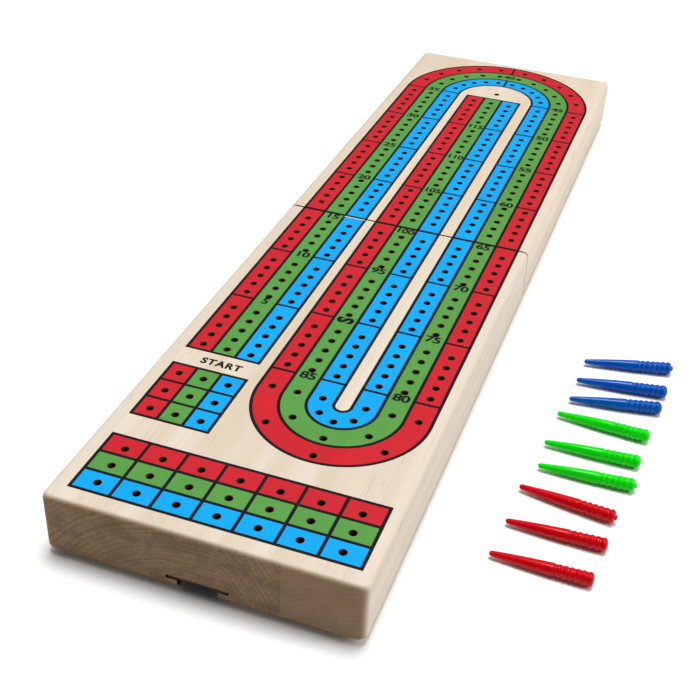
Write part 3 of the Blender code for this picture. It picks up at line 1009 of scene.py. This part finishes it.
def grip_profile():
    """Distance and radius along the ribbed grip."""
    profile = []
    rib_steps = RIBS * STEPS_PER_RIB
    for step in range(1, rib_steps + 1):
        t = step / rib_steps
        valley = 0.5 - 0.5 * math.cos(2 * math.pi * RIBS * t)
        crest = GRIP_RADIUS + (HEAD_RADIUS - GRIP_RADIUS) * t
        profile.append((GRIP_START + (GRIP_END - GRIP_START) * t, crest - RIB_DEPTH * valley))
    return profile


def head_profile(name, start_radius):
    """Distance and radius over the rounded head, and over the nub that some pegs have."""
    nub = name in NUBBED_PEGS
    head_end = PEG_LENGTH
    if nub:
        head_end -= NUB_LENGTH
    if name in SHORT_PEGS:
        head_end -= SHORT_BY
    neck = NUB_RADIUS if nub else HEAD_FLAT_RADIUS
    profile = []
    for turn in quarter_turns(HEAD_STEPS):
        along = GRIP_END + (head_end - GRIP_END) * math.sin(turn)
        profile.append((along, neck + (start_radius - neck) * math.cos(turn)))
    if nub:
        profile += [(PEG_LENGTH - NUB_RIM, neck), (PEG_LENGTH, neck - NUB_RIM)]
    return profile


def peg_profile(name):
    profile = shaft_profile() + grip_profile()
    return profile + head_profile(name, profile[-1][1])


def peg_place(name):
    """Puts a peg drawn along +Z, tip at the origin, on the axis of the CAD peg."""
    points = np.array([v.co for v in frame["nodes"][name].data.vertices], float)
    middle = points.mean(0)
    axis = np.linalg.svd(points - middle)[2][0]
    along = (points - middle) @ axis
    ends = [points[along < along.min() + 10 * CLOSE], points[along > along.max() - 10 * CLOSE]]
    widths = [np.linalg.norm(end - end.mean(0), axis=1).mean() for end in ends]
    if widths[0] > widths[1]:
        ends.reverse()
    tip, head = (Vector(end.mean(0)) for end in ends)
    return Matrix.Translation(tip) @ (head - tip).to_track_quat("Z", "Y").to_matrix().to_4x4()


def make_pegs():
    for colour, tone in PEG_TONES.items():
        mat = plastic(colour + "_peg_plastic", tone)
        for number in (1, 2, 3):
            name = f"{colour}_peg_{number}"
            bm = turned_mesh(peg_profile(name), PEG_SIDES, peg_place(name))
            peg = object_from(name + "_moulding", bm, [mat])
            peg.data.set_sharp_from_angle(angle=PEG_SHARP_EDGE)
            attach(peg, f"peg_{colour}_{number}")
            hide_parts(name)


make_pegs()


# ------------ hinges, lid and feet
LEAF_Z = (UNDER_Z + 0.1 * MM, UNDER_Z + 1.0 * MM)
LEAF_NEAR = 0.0015
LEAF_CORNER = 0.0009
LEAF_BEVEL = 0.00008
KNUCKLE_RADIUS = 0.0012
KNUCKLE_HALF = 0.00325
KNUCKLE_GAP = 0.00025
PIN_RADIUS = 0.0006
PIN_BORE = 0.00075
SCREW_HEAD = 0.0017
SCREW_SHANK = 0.00085
SCREW_TIP = 0.0018
SCREW_RIM = 0.06 * MM
SCREW_CONE = 1.5 * MM
THREADS = 7
THREAD_DEPTH = 0.2 * MM
RECESS = (0.00095, 0.00017, 0.00045)
FIT = 0.00015
PIN_HEAD = 0.35 * MM
PIN_DOME = 0.3 * MM
DOME_TURNS = quarter_turns(4)
LID_CORNER = 0.8 * MM
LID_BEVEL = 0.06 * MM
FINGER_RADIUS = 0.0025
FINGER_FROM_END = 0.0054
FOOT_RIM = 0.3 * MM


def brass(name, tone):
    """Brushed brass, dull in cloudy patches."""
    mat, tree, shader = new_material(name)
    place = object_place(tree)
    dull = linear(tone[0] - 50, tone[1] - 52, tone[2] - 30)
    tarnish = noise(tree, place, 260.0, 4.0)
    colour = tinted(tree, linear(*tone), tarnish, 0.4, 0.75, 1.0, dull)
    rough = ranged(tree, tarnish, 0.3, 0.7, 0.24, 0.45)
    brushed = noise(tree, stretch(tree, place, (300, 6000, 6000)), 1.0, 2.0)
    dress(tree, shader, colour, rough, bump(tree, brushed, 0.00002, 0.5), metallic=1.0)
    return mat


def moulded(name, dark, pale, grain_scale, roughness):
    """A dull moulded material: mottled, with a fine raised grain and rubbed patches."""
    mat, tree, shader = new_material(name)
    place = object_place(tree)
    grain = noise(tree, place, grain_scale, 3.0)
    rubbed = noise(tree, stretch(tree, place, (160, 40, 160)), 1.0, 3.0)
    colour = mix_colour(tree, grain, linear(*dark), linear(*pale))
    colour = tinted(tree, colour, rubbed, 0.5, 0.8, 0.4, linear(*pale))
    low, high = roughness
    rough = ranged(tree, rubbed, 0.3, 0.7, high, low)
    dress(tree, shader, colour, rough, bump(tree, grain, 0.00006), specular=0.25)
    return mat


def fit_piece(name, bm, mat, body, node_name):
    piece = object_from(name, bm, [mat])
    piece.data.set_sharp_from_angle(angle=SHARP_EDGE)
    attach(piece, body)
    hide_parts(node_name)


def rounded_outline(low, high, radius, inset):
    """A rounded rectangle seen from above, counter-clockwise, drawn in by inset."""
    left, right = low[0] + radius, high[0] - radius
    near, far = low[1] + radius, high[1] - radius
    points = []
    for turn, centre in enumerate(((right, near), (right, far), (left, far), (left, near))):
        start = (turn - 1) * math.pi / 2
        points += arc_points(centre, radius - inset, start, start + math.pi / 2, 6)
    return points


def slab_mesh(low, high, radius, bevel):
    """A flat plate between two corners, with rounded corners and bevelled rims."""
    levels = [(bevel, low[2]), (0, low[2] + bevel), (0, high[2] - bevel), (bevel, high[2])]
    bm = bmesh.new()
    rings = []
    for inset, z in levels:
        rings.append([(x, y, z) for x, y in rounded_outline(low, high, radius, inset)])
    add_rings(bm, rings)
    return bm


def axis_rod(x_low, x_high, radius):
    return turned_mesh([(x_low, radius), (x_high, radius)], ROUND_SIDES, on_hinge_axis(0))


def leaf_mesh(node_name, side, spans):
    """A hinge leaf: its plate, its rolled knuckles on the axis, and its screw sinks."""
    low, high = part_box(node_name)
    middle = (low.x + high.x) / 2
    far = high.y if side > 0 else low.y
    near, far = sorted((side * LEAF_NEAR, far))
    bm = slab_mesh((low.x, near, LEAF_Z[0]), (high.x, far, LEAF_Z[1]), LEAF_CORNER, LEAF_BEVEL)
    joined = []
    for start, end in spans:
        ends = sorted((0.0, side * (LEAF_NEAR + LEAF_CORNER)))
        joined.append(axis_rod(middle + start, middle + end, KNUCKLE_RADIUS))
        joined.append(
            box_mesh((middle + start, ends[0], LEAF_Z[0]), (middle + end, ends[1], LEAF_Z[1]))
        )
    bm = carve(bm, joined, "UNION")
    cutters = [axis_rod(low.x - MM, high.x + MM, PIN_BORE)]
    leaf = "rear" if side > 0 else "front"
    hand = node_name.split("_")[0]
    for number in (1, 2):
        screw_low, screw_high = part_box(f"{hand}_hinge_{leaf}_screw_{number}")
        x, y = (screw_low.x + screw_high.x) / 2, (screw_low.y + screw_high.y) / 2
        head, shank = SCREW_HEAD + FIT, SCREW_SHANK + FIT
        face = screw_low.z
        profile = [(UNDER_Z - MM, head), (face, head)]
        profile += [(LEAF_Z[1], shank), (LEAF_Z[1] + MM, shank)]
        cutters.append(turned_mesh(profile, ROUND_SIDES, Matrix.Translation((x, y, 0))))
    return carve(bm, cutters)


def screw_mesh(node_name):
    """A countersunk wood screw, head down, with a cross recess and a thread."""
    low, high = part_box(node_name)
    x, y = (low.x + high.x) / 2, (low.y + high.y) / 2
    profile = [(low.z, SCREW_HEAD - SCREW_RIM), (low.z + SCREW_RIM, SCREW_HEAD)]
    profile.append((LEAF_Z[1], SCREW_SHANK))
    start = LEAF_Z[1] + SCREW_CONE
    pitch = (high.z - SCREW_TIP - start) / THREADS
    root = SCREW_SHANK - THREAD_DEPTH
    for turn in range(THREADS):
        base = start + pitch * turn
        profile += [(base, root), (base + pitch * 0.6, root), (base + pitch * 0.8, SCREW_SHANK)]
    profile += [(high.z - SCREW_TIP, root), (high.z, SCREW_SHANK / 5)]
    bm = turned_mesh(profile, ROUND_SIDES, Matrix.Translation((x, y, 0)))
    long, short, depth = RECESS
    cutters = []
    for half_x, half_y in ((long, short), (short, long)):
        bottom = (x - half_x, y - half_y, low.z - MM)
        cutters.append(box_mesh(bottom, (x + half_x, y + half_y, low.z + depth)))
    return carve(bm, cutters)


def pin_mesh(node_name):
    """A hinge pin with a domed head at each end, against the knuckles' ends."""
    low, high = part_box(node_name)
    half = (high.x - low.x) / 2
    head = (high.z - low.z) / 2
    neck = half - PIN_HEAD
    dome = [(half - PIN_DOME * (1 - math.cos(t)), head * math.sin(t)) for t in DOME_TURNS]
    end = [(neck, PIN_RADIUS), (neck, head)] + dome[::-1]
    profile = [(-along, radius) for along, radius in reversed(end)] + end
    return turned_mesh(profile, ROUND_SIDES, on_hinge_axis((low.x + high.x) / 2))


def make_hinges():
    plate_brass = brass("hinge_brass", (214, 178, 96))
    screw_brass = brass("screw_brass", (196, 160, 84))
    inner = KNUCKLE_HALF
    outer = inner + KNUCKLE_GAP
    for hand in ("left", "right"):
        low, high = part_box(hand + "_hinge_front_leaf")
        half = (high.x - low.x) / 2
        for side, leaf, spans in (
            (-1, "front", [(-half, -outer), (outer, half)]),
            (1, "rear", [(-inner, inner)]),
        ):
            name = f"{hand}_hinge_{leaf}_leaf"
            bm = leaf_mesh(name, side, spans)
            fit_piece(name + "_plate", bm, plate_brass, leaf + "_half", name)
            for number in (1, 2):
                screw = f"{hand}_hinge_{leaf}_screw_{number}"
                bm = screw_mesh(screw)
                fit_piece(screw + "_turned", bm, screw_brass, leaf + "_half", screw)
        name = hand + "_hinge_pin"
        fit_piece(name + "_turned", pin_mesh(name), plate_brass, "front_half", name)


def make_lid():
    """The sliding cover of the compartment, with a finger hole near its outer end."""
    profile = [(lid_low.z - MM, FINGER_RADIUS), (lid_high.z + MM, FINGER_RADIUS)]
    place = Matrix.Translation((SLOT_X, lid_low.y + FINGER_FROM_END, 0))
    hole = turned_mesh(profile, ROUND_SIDES, place)
    bm = carve(slab_mesh(lid_low, lid_high, LID_CORNER, LID_BEVEL), [hole])
    brown = moulded("lid_plastic", (24, 14, 10), (40, 26, 18), 700.0, (0.45, 0.6))
    fit_piece("lid_sheet", bm, brown, "lid", "compartment_lid")


def foot_mesh(name):
    """A round pad that stands on its domed end."""
    low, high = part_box(name)
    radius = (high.x - low.x) / 2
    profile = [(high.z, radius - FOOT_RIM / 4), (high.z - FOOT_RIM / 4, radius)]
    for turn in [0.0] + DOME_TURNS:
        along = low.z + FOOT_RIM * (1 - math.sin(turn))
        profile.append((along, radius - FOOT_RIM * (1 - math.cos(turn))))
    place = Matrix.Translation(((low.x + high.x) / 2, (low.y + high.y) / 2, 0))
    return turned_mesh(profile[::-1], ROUND_SIDES, place)


def make_feet():
    rubber = moulded("foot_rubber", (34, 34, 36), (58, 56, 54), 1800.0, (0.7, 0.9))
    for half in ("front", "rear"):
        for hand in ("left", "right"):
            name = f"{half}_{hand}_foot_pad"
            bm = foot_mesh(name)
            fit_piece(name + "_moulding", bm, rubber, half + "_half", name)


make_hinges()
make_lid()
make_feet()


# ------------ floor, lights, camera
FLOOR_HALF = 12.0
FLOOR_DROP = 0.0001
FLOOR_TONES = ((0.92, 0.92, 0.92, 1), (0.94, 0.94, 0.94, 1))
BACKDROP_RADIUS = 9.0
BACKDROP_HEIGHT = 6.0
BACKDROP_BELOW = 0.5
BACKDROP_SIDES = 64
WHITE = (1.0, 1.0, 1.0, 1.0)
WORLD_STRENGTH = 0.09

# Where each light comes from, its strength, and its width in degrees
SOFT_LIGHTS = {
    "overhead_softbox": ((0.0, 0.22, 1.5), 2.15, 22.0),
    "ceiling_fill": ((0.0, 0.75, 2.2), 1.2, 80.0),
    "right_softbox": ((1.3, 0.2, 0.8), 1.1, 33.0),
}

CAMERA_FROM_COURSE = Vector((0.10836, -0.39859, 0.22672))
CAMERA_RIGHT = Vector((0.94066, 0.33703, 0.03968))
CAMERA_FORWARD = Vector((-0.25545, 0.78019, -0.57100))
CAMERA_LENS = 60.52
CAMERA_SENSOR = 36.0
CAMERA_RANGE = (0.01, 20.0)


def make_floor():
    bm = bmesh.new()
    bmesh.ops.create_grid(bm, x_segments=8, y_segments=8, size=FLOOR_HALF)
    mat, tree, shader = new_material("pale_floor")
    soft = noise(tree, object_place(tree), 6.0, 2.0)
    put(tree, shader.inputs["Base Color"], mix_colour(tree, soft, *FLOOR_TONES))
    put(tree, shader.inputs["Roughness"], ranged(tree, soft, 0.3, 0.7, 0.7, 0.8))
    floor = object_from("floor", bm, [mat])
    floor.location.z = cad_low.z - FLOOR_DROP


def make_backdrop():
    """A pale wall round the floor for the low views; it neither lights nor shades anything."""
    bm = bmesh.new()
    ends = {"radius1": BACKDROP_RADIUS, "radius2": BACKDROP_RADIUS, "depth": BACKDROP_HEIGHT}
    bmesh.ops.create_cone(bm, segments=BACKDROP_SIDES, cap_ends=False, **ends)
    mat, _, shader = new_material("pale_backdrop")
    shader.inputs["Base Color"].default_value = FLOOR_TONES[0]
    shader.inputs["Emission Color"].default_value = WHITE
    shader.inputs["Emission Strength"].default_value = 1.0
    mat.cycles.emission_sampling = "NONE"
    backdrop = object_from("backdrop", bm, [mat])
    backdrop.location.z = BACKDROP_HEIGHT / 2 - BACKDROP_BELOW
    for rays in ("diffuse", "glossy", "transmission", "shadow"):
        setattr(backdrop, "visible_" + rays, False)


def make_lights():
    """A dim world, and far softboxes that shine on the whole floor alike."""
    world = bpy.data.worlds.new("studio")
    world.use_nodes = True
    background = world.node_tree.nodes["Background"]
    background.inputs["Color"].default_value = WHITE
    background.inputs["Strength"].default_value = WORLD_STRENGTH
    bpy.context.scene.world = world
    for name, (from_place, strength, width) in SOFT_LIGHTS.items():
        data = bpy.data.lights.new(name, "SUN")
        data.energy = strength
        data.angle = math.radians(width)
        lamp = bpy.data.objects.new(name, data)
        lamp.location = from_place
        lamp.rotation_euler = Vector(from_place).to_track_quat("Z", "Y").to_euler()
        bpy.context.collection.objects.link(lamp)
    bpy.context.scene.view_settings.view_transform = "Standard"


def make_camera():
    """The photograph's viewpoint, placed from the middle of the printed course."""
    data = bpy.data.cameras.new("camera")
    data.lens = CAMERA_LENS
    data.sensor_width = CAMERA_SENSOR
    data.clip_start, data.clip_end = CAMERA_RANGE
    camera = bpy.data.objects.new("camera", data)
    back = -CAMERA_FORWARD.normalized()
    right = (CAMERA_RIGHT - back * CAMERA_RIGHT.dot(back)).normalized()
    up = back.cross(right)
    turn = Matrix((right, up, back)).transposed().to_4x4()
    course_middle = Vector((PRINT_X, 0.0, TOP_Z))
    camera.matrix_world = Matrix.Translation(course_middle + CAMERA_FROM_COURSE) @ turn
    bpy.context.collection.objects.link(camera)
    bpy.context.scene.camera = camera


make_floor()
make_backdrop()
make_lights()
make_camera()
